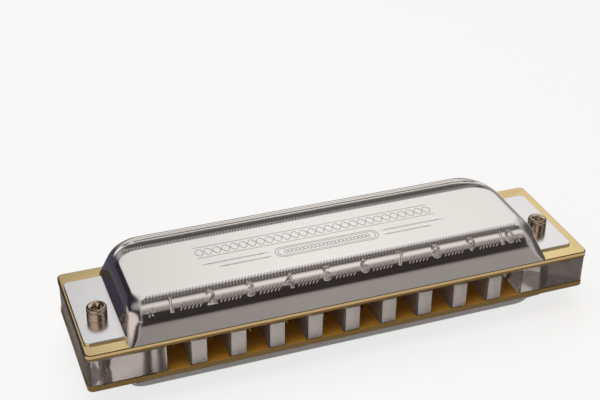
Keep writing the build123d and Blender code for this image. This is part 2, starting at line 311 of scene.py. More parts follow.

# %% [markdown]
# ## Clear acrylic
# The comb is moulded in clear acrylic, whose index of refraction is 1.49. Light goes through
# it, so the brass above and below tints it from inside, and its polished faces show edges as
# bright lines. The moulding's faint haze is a small roughness that drifts over a few
# millimetres. The polish stops short of the edges, so their narrow chamfers stay matt, and the
# sawn back and ends are left frosted. The ends also get a greyer colour, a painted shade that
# stands for the dark they show. The chambers' walls are as the mould left them, a little milky,
# so they scatter some of the light that comes in by the mouth.

# %% Material: clear acrylic
clear_acrylic, tree, shader, place = new_material("clear_acrylic")
shader.inputs["IOR"].default_value = 1.49
haze_size = 3 * MM
SAWN_DEPTH, SAWN_EDGE, SAWN_ROUGHNESS = 0.3 * MM, 0.1 * MM, 0.45
WALL_NORMAL = 0.9
POLISHED_CLEARNESS, WALL_CLEARNESS = 0.98, 0.8
haze = add_node(tree, "ShaderNodeTexNoise", values={"Scale": 1 / haze_size, "Detail": 3.0},
                links={"Vector": place.outputs["Object"]})
haze_rough = add_node(tree, "ShaderNodeMapRange", links={"Value": haze},
                      values={"To Min": 0.08, "To Max": 0.16})
split = add_node(tree, "ShaderNodeSeparateXYZ", links={"Vector": place.outputs["Normal"]})
upright = add_node(tree, "ShaderNodeMath", operation="ABSOLUTE", links={0: split.outputs["Z"]})
chamfer_rough = add_node(tree, "ShaderNodeValToRGB", links={"Fac": upright},
                         stops=[(0.1, 0.0), (0.3, 0.3), (0.93, 0.3), (0.99, 0.0)])
spot = add_node(tree, "ShaderNodeSeparateXYZ", links={"Vector": place.outputs["Object"]})
from_middle = add_node(tree, "ShaderNodeMath", operation="ABSOLUTE", links={0: spot.outputs["X"]})
rough = add_node(tree, "ShaderNodeMath", operation="ADD", links={0: haze_rough, 1: chamfer_rough})
for distance, face in ((from_middle.outputs["Value"], comb_high.x), (spot.outputs["Y"], comb_high.y)):
    sawn = add_node(tree, "ShaderNodeMapRange", links={"Value": distance},
                    values={"From Min": face - SAWN_DEPTH, "From Max": face - SAWN_EDGE,
                            "To Max": SAWN_ROUGHNESS})
    rough = add_node(tree, "ShaderNodeMath", operation="ADD", links={0: rough, 1: sawn})
facing_along = add_node(tree, "ShaderNodeMath", operation="ABSOLUTE", links={0: split.outputs["X"]})
clearness = add_node(tree, "ShaderNodeMapRange", links={"Value": facing_along},
                     values={"From Min": WALL_NORMAL, "To Min": POLISHED_CLEARNESS,
                             "To Max": WALL_CLEARNESS})
# Painted shade: the comb's ends take a greyer base colour than the rest.
painted_end_shade = add_node(tree, "ShaderNodeMapRange", links={"Value": from_middle},
                  values={"From Min": comb_high.x - SAWN_DEPTH, "From Max": comb_high.x - SAWN_EDGE})
body = add_node(tree, "ShaderNodeMix", data_type="RGBA",
                values={"A": linear("C6BCB6"), "B": linear("A89E94")}, links={"Factor": painted_end_shade})
feed(shader, {"Base Color": body, "Roughness": rough, "Transmission Weight": clearness})
print("made", clear_acrylic.name)

# %% [markdown]
# ## Finishes on the frame's own pieces
# A piece whose solid already has the right shape keeps it, and only gets its finish.

# %% Dress the frame's pieces
finish_of_slot = {
    "clear_acrylic": clear_acrylic,
    "plate_brass": plate_brass,
    "reed_brass": reed_brass,
    "rivet_brass": reed_brass,
    "screw_brass": plate_brass,
    "cover_steel": cover_steel,
    "screw_steel": nickel_plate,
}
for part in frame["record"]["subparts"]:
    piece = frame["nodes"][part["node"]]
    for slot in piece.material_slots:
        slot.material = finish_of_slot[part["material_slot"]]

# %% [markdown]
# ## The covers' skin
# A cover is one sheet, drawn over a die. It could be cut from solids, but a mirror finish
# shows every flat, so the skin is made as rings of points that climb the die: each ring runs
# once round the dome, and takes its height and its step inwards from three short profiles, one
# for the mouth side, one for the ends and one for the back. Round the corners the profiles
# melt into each other, which is what a drawn sheet does. A Solidify modifier then gives the
# skin its wall.

# %% Profiles of the dome
MOUTH_SLOPE = math.radians(44)
MOUTH_LENGTH = 3.75
CREASE_BEND = math.radians(7)
CREASE_START = 0.7
SHOULDER_SLOPE = math.radians(65)
END_LEAN = 1.3
END_ROUND = 2.2
RIM_RADIUS = 0.85
RIM_LEAD = math.radians(28)
GROOVE_START = 4.8
GROOVE_DEPTH = 0.36
GROOVE_SKEW = 0.36
WALL_STEPS = 8
CREST_STEPS = 26

mouth_wall = [[0, 0]]
for i in range(WALL_STEPS):
    share = (i + 0.5) / WALL_STEPS
    bend = CREASE_BEND * max(0.0, (share - CREASE_START) / (1 - CREASE_START))
    step = MOUTH_LENGTH / WALL_STEPS
    mouth_wall.append([mouth_wall[-1][0] + step * math.cos(MOUTH_SLOPE + bend),
                       mouth_wall[-1][1] + step * math.sin(MOUTH_SLOPE + bend)])
crease_inset, crease_height = mouth_wall[-1]
shoulder_radius = (RISE - crease_height) / (1 - math.cos(SHOULDER_SLOPE))
shoulder_end = crease_inset + shoulder_radius * math.sin(SHOULDER_SLOPE)


def along(start, end, steps):
    """Points on a straight line, the first one left out."""
    return [[a + (b - a) * i / steps for a, b in zip(start, end)] for i in range(1, steps + 1)]


def turn(centre, radius, start, end, steps):
    """Points on an arc, the first one left out. Angles are measured from straight up."""
    points = []
    for i in range(1, steps + 1):
        angle = start + (end - start) * i / steps
        points.append([centre[0] - radius * math.sin(angle), centre[1] + radius * math.cos(angle)])
    return points


def mouth_profile():
    """The mouth side: a sloping wall, a crease and the long shoulder."""
    centre = (shoulder_end, RISE - shoulder_radius)
    return mouth_wall + turn(centre, shoulder_radius, SHOULDER_SLOPE, 0, CREST_STEPS)


def end_profile():
    """An end: a steep wall and a small round."""
    steep = math.atan2(RISE, END_LEAN)
    touch_height = RISE - END_ROUND * (1 - math.cos(steep))
    touch_inset = touch_height / math.tan(steep)
    centre = (touch_inset + END_ROUND * math.sin(steep), RISE - END_ROUND)
    wall = [[0, 0]] + along((0, 0), (touch_inset, touch_height), WALL_STEPS)
    return wall + turn(centre, END_ROUND, steep, 0, CREST_STEPS)


def back_profile():
    """The back: an upright wall, a rolled rim and the groove behind it."""
    roll = (RIM_RADIUS, RISE - RIM_RADIUS)
    wall = [[0, 0]] + along((0, 0), (0, roll[1]), WALL_STEPS)
    rim_steps = CREST_STEPS // 2
    rim = turn(roll, RIM_RADIUS, math.pi / 2, -RIM_LEAD, rim_steps)
    start = rim[-1]
    span = GROOVE_START - start[0]
    groove = []
    for inset, height in along(start, (GROOVE_START, RISE), CREST_STEPS - rim_steps):
        share = (inset - start[0]) / span
        groove.append([inset, height - GROOVE_DEPTH * math.sin(math.pi * share ** GROOVE_SKEW)])
    return wall + rim + groove


mouth, end, rear = mouth_profile(), end_profile(), back_profile()
print(len(mouth), len(end), len(rear), "points to a profile")

# %% Rings of the dome
FRONT_CORNER = (1.0, 2.2)
FRONT_SWELL = 1.0
REAR_CORNER = (3.0, 8.0)
SIDE_COLUMNS = 60
END_COLUMNS = 28
CORNER_COLUMNS = 14
CAP_INSET = 0.6


def ring(step, shrink=0.0):
    """One closed ring of points round the dome, in millimetres about the cover's middle."""
    (mouth_in, mouth_up), (end_in, end_up), (rear_in, rear_up) = mouth[step], end[step], rear[step]
    x = DOME_HALF - end_in - shrink
    y_front = FRONT + mouth_in + shrink
    y_back = BACK - rear_in - shrink
    share = end_up / RISE
    swell = FRONT_SWELL * math.sin(math.pi * share)
    front_radius = FRONT_CORNER[0] + (FRONT_CORNER[1] - FRONT_CORNER[0]) * share + swell - shrink
    tightened = max(0.0, rear_in - RIM_RADIUS)
    rear_radius = REAR_CORNER[0] + (REAR_CORNER[1] - REAR_CORNER[0]) * share - tightened - shrink
    half = []
    for i in range(SIDE_COLUMNS // 2 + 1):
        half.append(((x - front_radius) * 2 * i / SIDE_COLUMNS, y_front, mouth_up))
    for i in range(1, CORNER_COLUMNS + 1):
        angle = math.pi / 2 * i / CORNER_COLUMNS
        weight = math.sin(angle) ** 2
        half.append((x - front_radius * (1 - math.sin(angle)),
                     y_front + front_radius * (1 - math.cos(angle)),
                     mouth_up + (end_up - mouth_up) * weight))
    y_start = y_front + front_radius
    y_end = y_back - rear_radius
    for i in range(1, END_COLUMNS + 1):
        half.append((x, y_start + (y_end - y_start) * i / END_COLUMNS, end_up))
    for i in range(1, CORNER_COLUMNS + 1):
        angle = math.pi / 2 * i / CORNER_COLUMNS
        weight = math.sin(angle) ** 2
        half.append((x - rear_radius * (1 - math.cos(angle)), y_end + rear_radius * math.sin(angle),
                     end_up + (rear_up - end_up) * weight))
    for i in range(1, SIDE_COLUMNS // 2 + 1):
        half.append(((x - rear_radius) * (1 - 2 * i / SIDE_COLUMNS), y_back, rear_up))
    mirrored = [(-px, py, pz) for px, py, pz in half[1:-1]]
    return half + mirrored[::-1]


column_count = len(ring(0))
print(column_count, "columns,", len(mouth), "rings")

# %% Skin, wall and flanges
BACK_POST = 6.0
BACK_WALL = 0.5
FLANGE_FRONT, FLANGE_BACK = -10.4, 9.6
FLANGE_CORNER = 1.0


def rounded_outline(x0, x1, y0, y1, corners, steps=8):
    """Corner points of a box, each rounded by its own radius, counterclockwise from x0, y0."""
    places = [(x0, y0, 1, 1, 180), (x1, y0, -1, 1, 270), (x1, y1, -1, -1, 0), (x0, y1, 1, -1, 90)]
    points = []
    for (x, y, inward_x, inward_y, start), radius in zip(places, corners):
        centre = (x + inward_x * radius, y + inward_y * radius)
        for i in range(steps + 1 if radius else 1):
            angle = math.radians(start + 90 * i / steps)
            points.append((centre[0] + radius * math.cos(angle), centre[1] + radius * math.sin(angle)))
    return points


def finished(name, mesh, material, modifiers=(), smooth_angle=35):
    """A finished piece: modifiers applied, sharp edges kept, placed by its mesh alone."""
    draft = in_scene(name + "_draft", mesh)
    for kind, settings in modifiers:
        modifier = draft.modifiers.new(kind.title(), kind)
        for key, value in settings.items():
            setattr(modifier, key, value)
    depsgraph = bpy.context.evaluated_depsgraph_get()
    final = bpy.data.meshes.new_from_object(draft.evaluated_get(depsgraph))
    bpy.data.objects.remove(draft)
    final.name = name
    final.materials.clear()
    final.materials.append(material)
    final.shade_smooth()
    final.set_sharp_from_angle(angle=math.radians(smooth_angle))
    return in_scene(name, final)


def make_skin_mesh():
    """The outer face of the dome, open below and at the back."""
    mesh = bmesh.new()
    rings = [ring(step) for step in range(len(mouth))] + [ring(len(mouth) - 1, CAP_INSET)]
    rows = [[mesh.verts.new((x, y, z)) for x, y, z in points] for points in rings]
    open_columns = {i for i, (x, y, _) in enumerate(rings[0])
                    if y > BACK - BACK_WALL and abs(x) < DOME_HALF - BACK_POST}
    for step, (low, high) in enumerate(zip(rows, rows[1:])):
        for i in range(column_count):
            j = (i + 1) % column_count
            if step >= WALL_STEPS or i not in open_columns or j not in open_columns:
                mesh.faces.new((low[i], low[j], high[j], high[i]))
    mesh.faces.new(rows[-1])
    return as_mesh("skin", mesh)


skin = make_skin_mesh()
print("skin:", len(skin.polygons), "faces")


def make_flange_mesh(side):
    """The flat wing at one end of a cover, rooted in the dome's wall."""
    outline = rounded_outline(DOME_HALF - SHEET / 2, REACH, FLANGE_FRONT, FLANGE_BACK,
                              (0, FLANGE_CORNER, FLANGE_CORNER, 0))
    mesh = bmesh.new()
    face = mesh.faces.new([mesh.verts.new((side * x, y, 0)) for x, y in outline])
    if side < 0:
        face.normal_flip()
    raised = bmesh.ops.extrude_face_region(mesh, geom=[face])
    moved = [item for item in raised["geom"] if isinstance(item, bmesh.types.BMVert)]
    bmesh.ops.translate(mesh, verts=moved, vec=(0, 0, SHEET))
    bmesh.ops.recalc_face_normals(mesh, faces=mesh.faces)
    return as_mesh("flange", mesh)


def joined(name, meshes, materials, matrix):
    """Meshes with a material number each, as one piece, moved into place by a matrix."""
    whole = bmesh.new()
    for mesh, number in meshes:
        count = len(whole.faces)
        whole.from_mesh(mesh)
        whole.faces.ensure_lookup_table()
        for face in whole.faces[count:]:
            face.material_index = number
    bmesh.ops.transform(whole, matrix=matrix, verts=whole.verts)
    if matrix.determinant() < 0:
        bmesh.ops.reverse_faces(whole, faces=whole.faces)
    result = as_mesh(name, whole)
    for material in materials:
        result.materials.append(material)
    return in_scene(name, result)


wall = ("SOLIDIFY", {"thickness": SHEET, "offset": -1.0, "use_even_offset": True})
edge = ("BEVEL", {"width": 0.1, "segments": 2, "limit_method": "ANGLE"})
dome_draft = finished("dome", skin, cover_steel, [wall], 50)
flange_drafts = [finished(f"flange_{side}", make_flange_mesh(side), cover_steel, [edge], 20)
                 for side in (-1, 1)]
shapes = [(dome_draft.data, 0)] + [(draft.data, 1) for draft in flange_drafts]
lift_upper = TO_METRES @ Matrix.Translation((MIDDLE, 0, PLATE_TOP))
mirror_lower = Matrix.Translation((0, 0, TOP * MM)) @ Matrix.Diagonal((1, 1, -1, 1)) @ lift_upper
for name, matrix in (("upper_cover", lift_upper), ("lower_cover", mirror_lower)):
    cover = joined(name + "_skin", shapes, (cover_steel, wing_steel), matrix)
    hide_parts(name)
    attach(cover, BODY)
    print(cover.name, len(cover.data.polygons), "faces")
for draft in [dome_draft] + flange_drafts:
    bpy.data.objects.remove(draft)

# %% [markdown]
# ## Engraving
# The covers carry hole numbers and borders of fine slanted strokes, pressed into the sheet in
# the traditional way. Hundreds of like strokes in rows are work for Geometry Nodes: a line of
# points, one low bead on each. A row's count, pitch, lean and slant are inputs, so one tree
# draws every row. The beads are closed, and sink halfway into the sheet.


# %% A tree with named inputs
def new_tree(name, inputs):
    """A geometry tree with its inputs, and the two nodes that bring them in and out."""
    tree = bpy.data.node_groups.new(name, "GeometryNodeTree")
    for label, kind in inputs.items():
        tree.interface.new_socket(name=label, in_out="INPUT", socket_type=kind)
    tree.interface.new_socket(name="Geometry", in_out="OUTPUT", socket_type="NodeSocketGeometry")
    return tree, add_node(tree, "NodeGroupInput"), add_node(tree, "NodeGroupOutput")


def grown(tree, settings):
    """The plain mesh that a tree gives for these inputs."""
    seed = in_scene("seed", bpy.data.meshes.new("seed"))
    modifier = seed.modifiers.new("Grow", "NODES")
    modifier.node_group = tree
    for item in tree.interface.items_tree:
        if item.in_out == "INPUT":
            modifier[item.identifier] = settings[item.name]
    depsgraph = bpy.context.evaluated_depsgraph_get()
    mesh = bpy.data.meshes.new_from_object(seed.evaluated_get(depsgraph))
    bpy.data.objects.remove(seed)
    return mesh


def finish_tree(tree, geometry, given, result):
    """Ends a tree: what it grew is made real and takes the finish that was asked for."""
    real = add_node(tree, "GeometryNodeRealizeInstances", links={"Geometry": geometry})
    done = add_node(tree, "GeometryNodeSetMaterial",
                    links={"Geometry": real, "Material": given.outputs["Material"]})
    feed(result, {"Geometry": done})
    print("made tree", tree.name)


VECTOR, FLOAT, WHOLE, FINISH = ("NodeSocketVector", "NodeSocketFloat", "NodeSocketInt",
                                "NodeSocketMaterial")
print("tree helpers ready")

# %% Tree: a row of slanted strokes
row_tree, given, result = new_tree("stroke_row", {
    "Count": WHOLE, "Start": VECTOR, "Step": VECTOR, "Size": VECTOR, "Slant": FLOAT, "Lean": FLOAT,
    "Material": FINISH})
points = add_node(row_tree, "GeometryNodeMeshLine", mode="OFFSET",
                  links={"Count": given.outputs["Count"], "Start Location": given.outputs["Start"],
                         "Offset": given.outputs["Step"]})
ball = add_node(row_tree, "GeometryNodeMeshUVSphere",
                values={"Segments": 8, "Rings": 4, "Radius": 0.5})
slant = add_node(row_tree, "ShaderNodeCombineXYZ", links={"Z": given.outputs["Slant"]})
bead = add_node(row_tree, "GeometryNodeTransform",
                links={"Geometry": ball, "Rotation": slant, "Scale": given.outputs["Size"]})
lean = add_node(row_tree, "ShaderNodeCombineXYZ", links={"X": given.outputs["Lean"]})
beads = add_node(row_tree, "GeometryNodeInstanceOnPoints",
                 links={"Points": points, "Instance": bead, "Rotation": lean})
finish_tree(row_tree, beads, given, result)

# %% Tree: a waving line
wave_tree, given, result = new_tree("waving_line", {
    "Start": VECTOR, "End": VECTOR, "Waves": FLOAT, "Height": FLOAT, "Phase": FLOAT,
    "Line Radius": FLOAT, "Points": WHOLE, "Material": FINISH})
line = add_node(wave_tree, "GeometryNodeCurvePrimitiveLine",
                links={"Start": given.outputs["Start"], "End": given.outputs["End"]})
fine = add_node(wave_tree, "GeometryNodeResampleCurve",
                links={"Curve": line, "Count": given.outputs["Points"]})
share = add_node(wave_tree, "GeometryNodeSplineParameter")
turns = add_node(wave_tree, "ShaderNodeMath", operation="MULTIPLY",
                 links={0: share, 1: given.outputs["Waves"]})
phase = add_node(wave_tree, "ShaderNodeMath", operation="MULTIPLY_ADD", values={1: 2 * math.pi},
                 links={0: turns, 2: given.outputs["Phase"]})
swing = add_node(wave_tree, "ShaderNodeMath", operation="SINE", links={0: phase})
rise = add_node(wave_tree, "ShaderNodeMath", operation="MULTIPLY",
                links={0: swing, 1: given.outputs["Height"]})
offset = add_node(wave_tree, "ShaderNodeCombineXYZ", links={"Y": rise})
waved = add_node(wave_tree, "GeometryNodeSetPosition", links={"Geometry": fine, "Offset": offset})
section = add_node(wave_tree, "GeometryNodeCurvePrimitiveCircle", values={"Resolution": 6},
                   links={"Radius": given.outputs["Line Radius"]})
tube = add_node(wave_tree, "GeometryNodeCurveToMesh", values={"Fill Caps": True},
                links={"Curve": waved, "Profile Curve": section})
finish_tree(wave_tree, tube, given, result)

# %% Tree: a rounded frame
frame_tree, given, result = new_tree("rounded_frame", {
    "Width": FLOAT, "Height": FLOAT, "Corner": FLOAT, "Centre": VECTOR, "Line Radius": FLOAT,
    "Material": FINISH})
quad = add_node(frame_tree, "GeometryNodeCurvePrimitiveQuadrilateral",
                links={"Width": given.outputs["Width"], "Height": given.outputs["Height"]})
soft = add_node(frame_tree, "GeometryNodeFilletCurve", mode="POLY", values={"Count": 10},
                links={"Curve": quad, "Radius": given.outputs["Corner"]})
section = add_node(frame_tree, "GeometryNodeCurvePrimitiveCircle", values={"Resolution": 6},
                   links={"Radius": given.outputs["Line Radius"]})
tube = add_node(frame_tree, "GeometryNodeCurveToMesh", links={"Curve": soft, "Profile Curve": section})
placed = add_node(frame_tree, "GeometryNodeTransform",
                  links={"Geometry": tube, "Translation": given.outputs["Centre"]})
finish_tree(frame_tree, placed, given, result)

# %% Tree: a small flower
flower_tree, given, result = new_tree("flower", {
    "Petals": WHOLE, "Radius": FLOAT, "Size": VECTOR, "Lean": FLOAT, "Centre": VECTOR,
    "Material": FINISH})
circle = add_node(flower_tree, "GeometryNodeMeshCircle",
                  links={"Vertices": given.outputs["Petals"], "Radius": given.outputs["Radius"]})
ball = add_node(flower_tree, "GeometryNodeMeshUVSphere",
                values={"Segments": 8, "Rings": 4, "Radius": 0.5})
petal = add_node(flower_tree, "GeometryNodeTransform",
                 links={"Geometry": ball, "Scale": given.outputs["Size"]})
number = add_node(flower_tree, "GeometryNodeInputIndex")
part = add_node(flower_tree, "ShaderNodeMath", operation="DIVIDE",
                links={0: number, 1: given.outputs["Petals"]})
bearing = add_node(flower_tree, "ShaderNodeMath", operation="MULTIPLY", values={1: 2 * math.pi},
                   links={0: part})
spin = add_node(flower_tree, "ShaderNodeCombineXYZ", links={"Z": bearing})
petals = add_node(flower_tree, "GeometryNodeInstanceOnPoints",
                  links={"Points": circle, "Instance": petal, "Rotation": spin})
lean = add_node(flower_tree, "ShaderNodeCombineXYZ", links={"X": given.outputs["Lean"]})
placed = add_node(flower_tree, "GeometryNodeTransform",
                  links={"Geometry": petals, "Translation": given.outputs["Centre"], "Rotation": lean})
finish_tree(flower_tree, placed, given, result)

# %% [markdown]
# Strokes on the shoulder need a place on its arc. Measured by the angle of the slope there, a
# point is the arc's centre plus a radius, and a stroke leans by that same angle.

# %% Places on the shoulder
ARC_Y = FRONT + shoulder_end
ARC_Z = RISE - shoulder_radius


def on_shoulder(x, slope, height=0.0):
    """A point on the shoulder where it slopes by so many degrees, in the cover's own place."""
    angle = math.radians(slope)
    reach = shoulder_radius + height
    return (x, ARC_Y - reach * math.sin(angle), ARC_Z + reach * math.cos(angle))


print("shoulder:", [round(v, 2) for v in on_shoulder(0, 30)])

# %% Rows of strokes and borders
BEAD_HEIGHT = 2 * EMBOSS
STROKE_PITCH = 0.62
STROKE_SLANT = -35
BORDER_SLOPE = 17
BORDER_INSET = 4.6
EDGE_START, EDGE_END = -37.2, 37.2
FLAT_LEVEL = RISE


def hole_x(number):
    """The middle of a hole along the row, measured from the cover's middle."""
    return (number - (HOLE_COUNT + 1) / 2) * HOLE_PITCH - MIDDLE


def stroke_row(x_start, x_end, pitch, size, slant, slope=0.0, y=None):
    """A row of strokes along X, on the shoulder at a slope, or on the flat at a Y."""
    start = on_shoulder(x_start, slope) if y is None else (x_start, y, FLAT_LEVEL)
    return grown(row_tree, {"Count": max(1, round((x_end - x_start) / pitch) + 1), "Start": start,
                            "Step": (pitch, 0, 0), "Size": size, "Slant": math.radians(slant),
                            "Lean": math.radians(slope), "Material": cover_steel})


border_run = (EDGE_START, EDGE_END, STROKE_PITCH)
borders = [stroke_row(*border_run, (0.36, 1.7, BEAD_HEIGHT), STROKE_SLANT, slope=BORDER_SLOPE),
           stroke_row(*border_run, (0.36, 1.8, BEAD_HEIGHT), STROKE_SLANT, y=BACK - BORDER_INSET)]
print("borders:", sum(len(mesh.polygons) for mesh in borders), "faces")

# %% Strokes between the hole numbers
NUMBER_SLOPE = 40
STROKE_SLOPE = 47
NUMBER_GAP = 2.0
BETWEEN_PITCH = 0.72
BETWEEN_SLANT = -34
FLOWER_PLACES = (-36.9, 36.9)
between = [stroke_row(hole_x(number) + NUMBER_GAP, hole_x(number + 1) - NUMBER_GAP, BETWEEN_PITCH,
                      (0.3, 1.9, BEAD_HEIGHT), BETWEEN_SLANT, slope=STROKE_SLOPE)
           for number in range(1, HOLE_COUNT)]
flowers = [grown(flower_tree, {
    "Petals": 6, "Radius": 0.6, "Size": (0.75, 0.3, BEAD_HEIGHT), "Lean": math.radians(STROKE_SLOPE),
    "Centre": on_shoulder(x, STROKE_SLOPE), "Material": cover_steel}) for x in FLOWER_PLACES]
print("strokes between numbers:", sum(len(mesh.polygons) for mesh in between), "faces")

# %% [markdown]
# The numbers are drawn as outlines. A text curve with no fill and a thin bevel gives the
# outline as a tube, and bending its points round the shoulder's arc lays it on the sheet.

# %% Hole numbers
NUMBER_HEIGHT = 2.9
NUMBER_LINE = 0.13


def outlined_number(number):
    """One number as a tube along its outline, bent round the shoulder's arc."""
    text = bpy.data.curves.new("number", "FONT")
    text.body = str(number)
    text.align_x = "CENTER"
    text.resolution_u = 3
    text.fill_mode = "NONE"
    text.bevel_depth = NUMBER_LINE / 3
    text.bevel_resolution = 1
    writer = in_scene("number", text)
    depsgraph = bpy.context.evaluated_depsgraph_get()
    mesh = bpy.data.meshes.new_from_object(writer.evaluated_get(depsgraph))
    bpy.data.objects.remove(writer)
    ys = [vertex.co.y for vertex in mesh.vertices]
    scale = NUMBER_HEIGHT / (max(ys) - min(ys))
    middle = (max(ys) + min(ys)) / 2
    x = hole_x(number)
    for vertex in mesh.vertices:
        place = vertex.co
        slope = NUMBER_SLOPE - math.degrees((place.y - middle) * scale / shoulder_radius)
        vertex.co = on_shoulder(x + place.x * scale, slope, place.z * scale + EMBOSS / 3)
    return mesh


numbers = [outlined_number(number) for number in range(1, HOLE_COUNT + 1)]
print("numbers:", sum(len(mesh.polygons) for mesh in numbers), "faces")

# %% Ornament on the flat
LINE = 0.09
LINE_LEVEL = FLAT_LEVEL + EMBOSS / 2 - LINE
FRAME_Y = -1.6
FRAME_WAVE = 8.8
CHAIN_START, CHAIN_END, CHAIN_Y = -25.0, 24.0, 3.3
CHAIN_RULES = (1.5, 5.1)
TAPER_START = 11.2
TAPERS = ((FRAME_Y + 0.8, 14.0), (FRAME_Y - 0.7, 11.0))


def waving_line(x_start, x_end, y, waves, height, phase):
    """A line along X on the flat that waves so many times, or runs straight."""
    return grown(wave_tree, {
        "Start": (x_start, y, LINE_LEVEL), "End": (x_end, y, LINE_LEVEL),
        "Waves": waves, "Height": height, "Phase": phase, "Line Radius": LINE,
        "Points": int(max(2, waves * 16 + 1)), "Material": cover_steel})


def rounded_frame(x, y, width, height, corner):
    """A rounded frame on the flat about a point."""
    return grown(frame_tree, {
        "Width": width, "Height": height, "Corner": corner, "Centre": (x, y, LINE_LEVEL),
        "Line Radius": LINE, "Material": cover_steel})


ornament = [rounded_frame(0, FRAME_Y, width=21.0, height=3.2, corner=1.5),
            rounded_frame(0, FRAME_Y, width=20.0, height=2.3, corner=1.1)]
for phase in (0, math.pi):
    ornament.append(waving_line(-FRAME_WAVE, FRAME_WAVE, FRAME_Y, 11, 0.6, phase))
    ornament.append(waving_line(CHAIN_START, CHAIN_END, CHAIN_Y, 14, 1.15, phase))
for y in CHAIN_RULES:
    ornament.append(waving_line(CHAIN_START, CHAIN_END, y, 0, 0, 0))
for side in (-1, 1):
    for y, length in TAPERS:
        x_middle = side * (TAPER_START + length / 2)
        ornament.append(grown(row_tree, {
            "Count": 1, "Start": (x_middle, y, FLAT_LEVEL), "Step": (1, 0, 0),
            "Size": (length, 0.4, EMBOSS), "Slant": 0.0, "Lean": 0.0, "Material": cover_steel}))
print("ornament:", len(ornament), "lines")

# %% Engraving of each cover
engraved = {"upper": borders + between + flowers + numbers + ornament,
            "lower": borders + ornament[:3]}
for level, matrix in (("upper", lift_upper), ("lower", mirror_lower)):
    lines = joined(f"{level}_cover_engraving", [(mesh, 0) for mesh in engraved[level]],
                   (cover_steel,), matrix)
    lines.data.shade_smooth()
    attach(lines, BODY)
    print(lines.name, len(lines.data.polygons), "faces")

# %% [markdown]
# ## Softened edges
# The comb and the plates have the right shape already, but a solid's edges are knife sharp, and
# no real edge is. Punching rolls a plate's outer rim over and leaves its inner rim crisp, and
# moulded acrylic has a small radius all round, so each catches the light as a fine line. These
# pieces are copies of the frame's, merged and bevelled. The comb also stops a hair short of the
# plates: the air film between them is what makes clear acrylic mirror its own faces.

# %% A clean copy of a frame node
AIR_GAP = 0.03
RIM_ROLL = 0.3
SHARP_ANGLE = 50


def clean_copy(node):
    """A frame node's mesh in millimetres, merged into flat faces, and the height of its middle."""
    shape = bmesh.new()
    shape.from_mesh(frame["nodes"][node].data)
    bmesh.ops.scale(shape, vec=(1 / MM,) * 3, verts=shape.verts)
    bmesh.ops.remove_doubles(shape, verts=shape.verts, dist=0.001)
    bmesh.ops.dissolve_limit(shape, angle_limit=math.radians(1), verts=shape.verts, edges=shape.edges)
    low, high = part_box(node)
    return shape, (low.z + high.z) / 2 / MM, (high.z - low.z) / 2 / MM


def mark_edges(shape, chosen):
    """Gives full bevel weight to the sharp edges that a test chooses."""
    weight = shape.edges.layers.float.new("bevel_weight_edge")
    for rim in shape.edges:
        if chosen(rim) and rim.calc_face_angle(0.0) > math.radians(SHARP_ANGLE):
            rim[weight] = 1.0


def softened(node, name, shape, material, bevel, smooth_angle):
    """The finished piece from a clean copy, which replaces its node."""
    draft = finished("softened", as_mesh("softened", shape), material, [("BEVEL", bevel)], smooth_angle)
    draft.data.transform(TO_METRES)
    draft.data.name = draft.name = name
    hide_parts(node)
    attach(draft, BODY)
    print(name, len(draft.data.polygons), "faces")
    return draft


# %% Comb
shape, middle, half = clean_copy("comb")
for vertex in shape.verts:
    vertex.co.z = middle + (vertex.co.z - middle) * (1 - AIR_GAP / half)
row_half = HOLE_PITCH * HOLE_COUNT / 2
mark_edges(shape, lambda rim: all(abs(vertex.co.x) > row_half for vertex in rim.verts))
comb = softened("comb", "clear_comb", shape, clear_acrylic,
                {"width": 0.1, "segments": 2, "limit_method": "WEIGHT"}, 20)

# %% Reed plates
SIDE_REACH = 2.0
for level, outward in (("upper", 1), ("lower", -1)):
    node = f"{level}_reed_plate"
    shape, middle, half = clean_copy(node)
    low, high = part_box(node)

    def on_outer_rim(rim):
        ends = [vertex.co for vertex in rim.verts]
        at_side = any(all(abs(end[axis] - wall[axis] / MM) < SIDE_REACH for end in ends)
                      for axis in (0, 1) for wall in (low, high))
        return at_side and all((end.z - middle) * outward > half - 0.01 for end in ends)

    mark_edges(shape, on_outer_rim)
    plate = softened(node, f"{level}_plate", shape, plate_brass,
                     {"width": RIM_ROLL, "segments": 6, "limit_method": "WEIGHT"}, 25)

# %% [markdown]
# ## Cover screws
# Each cover is held by two screws with cylinder heads: a rounded rim, a turned groove under it,
# a side with fine turning marks, a cross recess, and a thread that shows through the clear
# comb. Turned shapes are a profile swept round an axis, so the screw is rings of points whose
# radius comes from the profile, and along the shank also from the thread's helix. A Boolean
# modifier cuts the recess.

# %% Screw profile
SCREW_SIDES = 40
THREAD_PITCH = 0.4
THREAD_DEPTH = 0.16
THREAD_ROWS = 6
HEAD_HEIGHT = 2.5
SHANK_RADIUS = 1.0
RIM_ROUND = 0.5
TURNING_MARK = 0.24
UNDERCUT_END = 0.78
FOOT_BAND = 0.35


def head_profile(radius):
    """Radius and depth below the top, from the middle of the head outwards and down."""
    points = [(0.0, 0.12), (radius - RIM_ROUND - 0.25, 0.1), (radius - RIM_ROUND, 0.0)]
    for i in range(1, 7):
        angle = math.radians(15 * i)
        points.append((radius - RIM_ROUND * (1 - math.sin(angle)), RIM_ROUND * (1 - math.cos(angle))))
    points += [(radius - 0.1, 0.58), (radius - 0.1, 0.7), (radius, UNDERCUT_END)]
    mark = UNDERCUT_END
    while mark < HEAD_HEIGHT - FOOT_BAND:
        points += [(radius - 0.025, mark + TURNING_MARK / 2), (radius, mark + TURNING_MARK)]
        mark += TURNING_MARK
    return points + [(radius, HEAD_HEIGHT - 0.1), (radius - 0.1, HEAD_HEIGHT),
                     (SHANK_RADIUS, HEAD_HEIGHT)]


